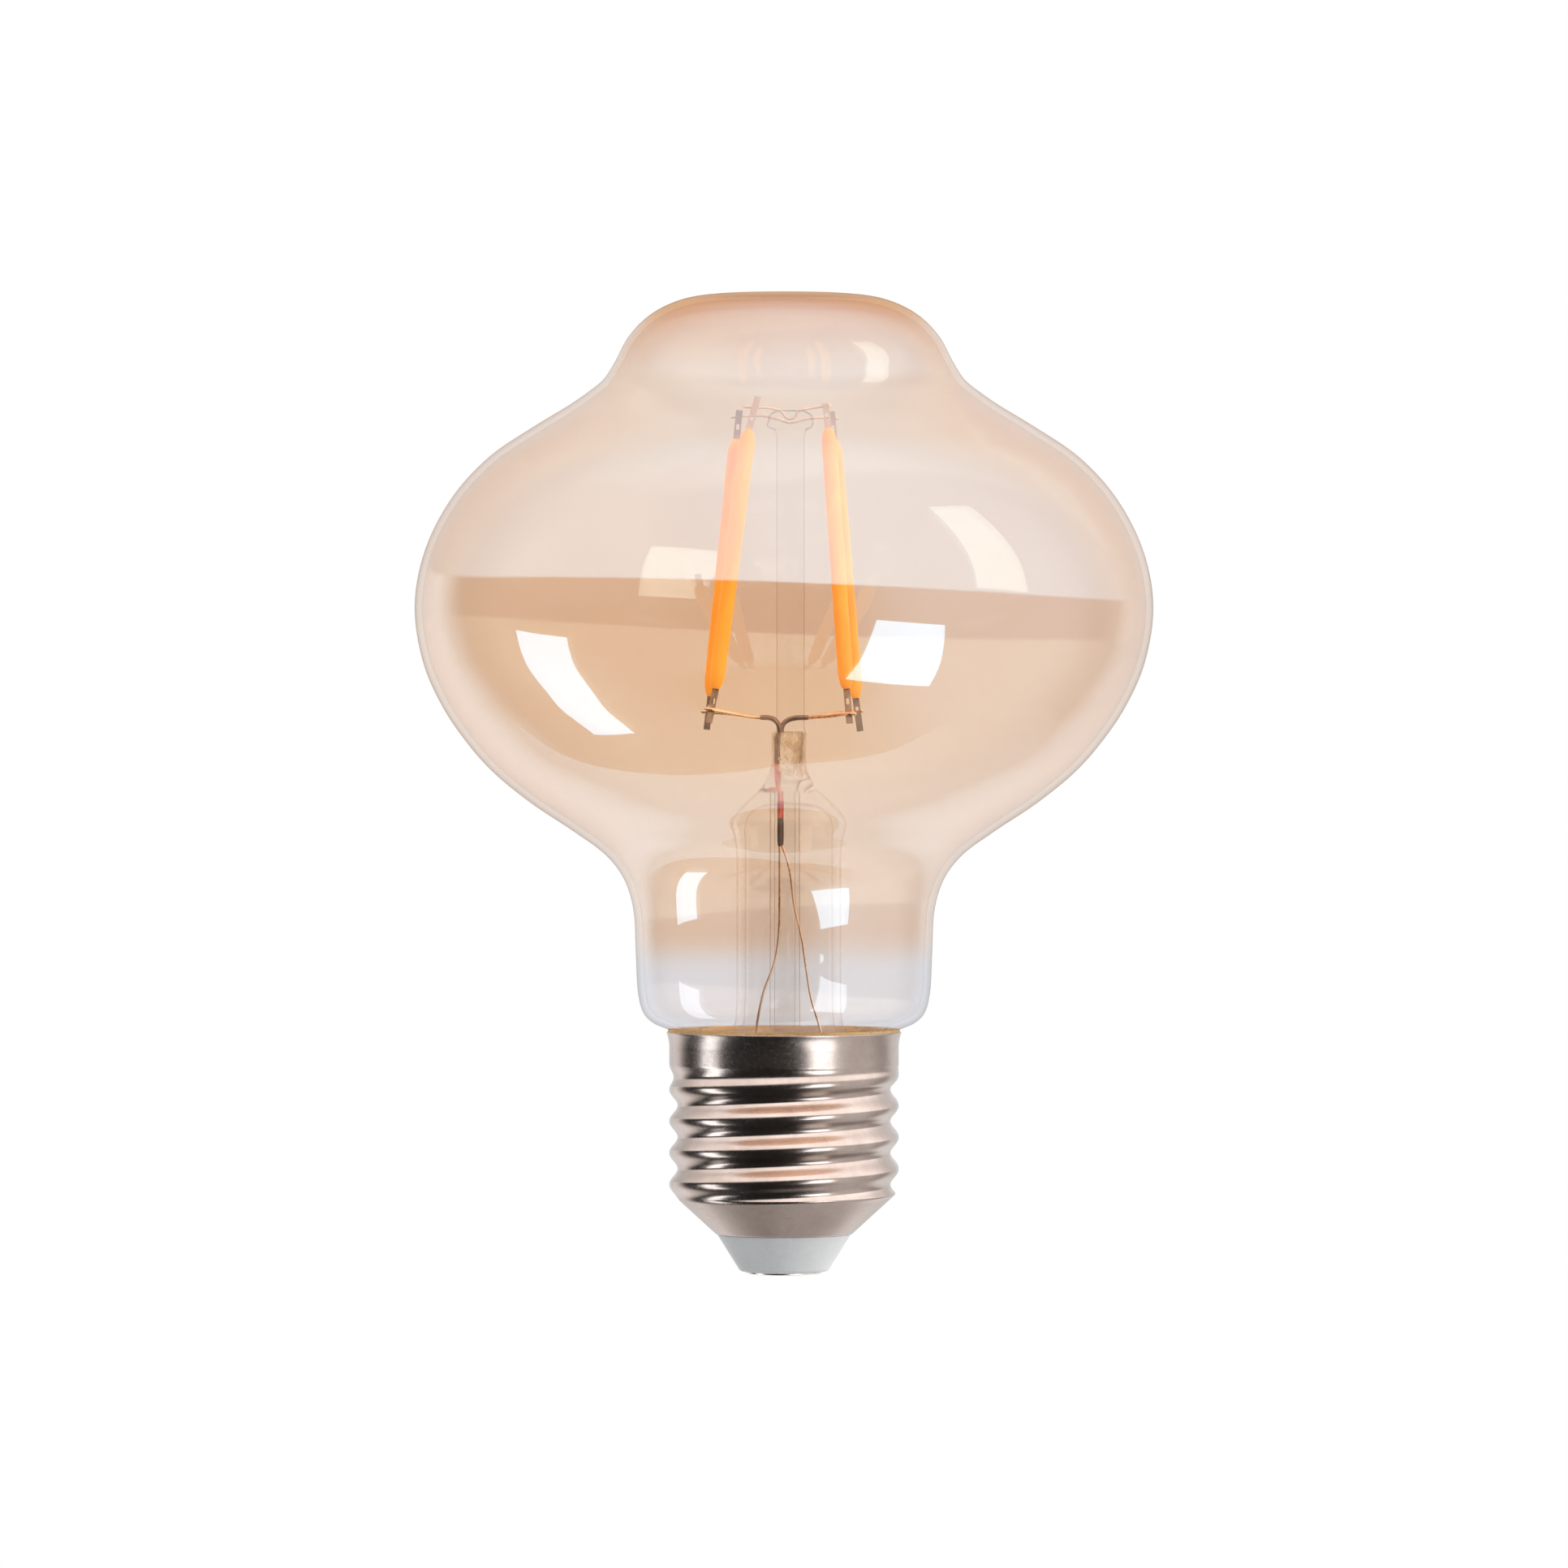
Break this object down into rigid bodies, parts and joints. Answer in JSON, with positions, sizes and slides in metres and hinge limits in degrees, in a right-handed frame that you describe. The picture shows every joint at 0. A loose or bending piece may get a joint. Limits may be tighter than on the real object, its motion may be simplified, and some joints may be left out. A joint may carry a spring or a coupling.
{
  "type": "light bulb",
  "caption": "Amber lantern-shaped LED filament bulb on a screw cap: glass globe, glass stem with leaning filaments, lead wires, cement, and driver with a radio module in the cap.",
  "frame": {"origin": "centre of the centre contact's face at the foot of the screw cap, on the lamp's axis", "axes": "+Z along the lamp's axis from the contact to the flat crown; -Y towards the pair of filaments in front; +X to their right"},
  "size_m": [0.0846, 0.0846, 0.1123],
  "materials": {
    "amber_glass": "blown soda-lime glass with a transparent amber coat that fades out on the neck",
    "clear_glass": "clear drawn and pressed lead-free glass, fire polished",
    "nickel": "nickel-plated brass sheet, satin, slightly warm",
    "cement": "baked golden-brown basing cement, matte",
    "insulator": "pale bluish-grey moulded plastic, matte",
    "lead_nickel": "drawn nickel wire, dull and slightly oxidised by the flame",
    "copper": "copper and copper-plated wire, semi-bright",
    "seal_metal": "copper-clad seal wire, red-brown from the glass seal",
    "sleeve": "dark oxidised weld knot and sleeve",
    "phosphor": "silicone with yellow-orange phosphor, matte and slightly translucent",
    "strip_ceramic": "white alumina ceramic",
    "led_die": "bluish sapphire chips",
    "tab_metal": "plated iron tab, dull",
    "board_laminate": "green solder mask on glass-fibre laminate",
    "radio_laminate": "dark blue solder mask",
    "mould_compound": "black epoxy mould compound",
    "capacitor_sleeve": "dark blue shrink sleeve on an aluminium can",
    "ferrite": "sintered ferrite, dark grey",
    "resistor_body": "pale blue-green lacquer",
    "ceramic_parts": "tan ceramic with dull tin ends",
    "tin_can": "tin-plated steel sheet",
    "red_insulation": "red insulation",
    "black_insulation": "black insulation"
  },
  "bodies": {
    "root": {"glass_envelope": "amber_glass", "screw_shell": "nickel", "basing_cement": "cement", "cap_insulator": "insulator", "centre_contact": "nickel", "stem_flare": "clear_glass", "exhaust_tube": "clear_glass", "support_rod": "clear_glass", "anchor_wire_front": "lead_nickel", "anchor_wire_back": "lead_nickel", "inner_lead_left": "lead_nickel", "inner_lead_right": "lead_nickel", "branch_wire_left": "copper", "branch_wire_right": "copper", "seal_wire_left": "seal_metal", "seal_wire_right": "seal_metal", "lead_sleeve_left": "sleeve", "lead_sleeve_right": "sleeve", "outer_lead_left": "copper", "outer_lead_right": "copper", "coat_front_left": "phosphor", "coat_front_right": "phosphor", "coat_back_left": "phosphor", "coat_back_right": "phosphor", "strip_front_left": "strip_ceramic", "strip_front_right": "strip_ceramic", "strip_back_left": "strip_ceramic", "strip_back_right": "strip_ceramic", "chips_front_left": "led_die", "chips_front_right": "led_die", "chips_back_left": "led_die", "chips_back_right": "led_die", "top_tab_front_left": "tab_metal", "top_tab_front_right": "tab_metal", "top_tab_back_left": "tab_metal", "top_tab_back_right": "tab_metal", "foot_tab_front_left": "tab_metal", "foot_tab_front_right": "tab_metal", "foot_tab_back_left": "tab_metal", "foot_tab_back_right": "tab_metal", "driver_board": "board_laminate", "bridge_rectifier": "mould_compound", "driver_chip": "mould_compound", "smoothing_capacitor": "capacitor_sleeve", "inductor_core": "ferrite", "inductor_winding": "copper", "fuse_resistor": "resistor_body", "chip_parts": "ceramic_parts", "wireless_board": "radio_laminate", "wireless_shield": "tin_can", "wireless_antenna": "copper", "live_lead": "red_insulation", "neutral_lead": "black_insulation"}
  },
  "joints": []
}
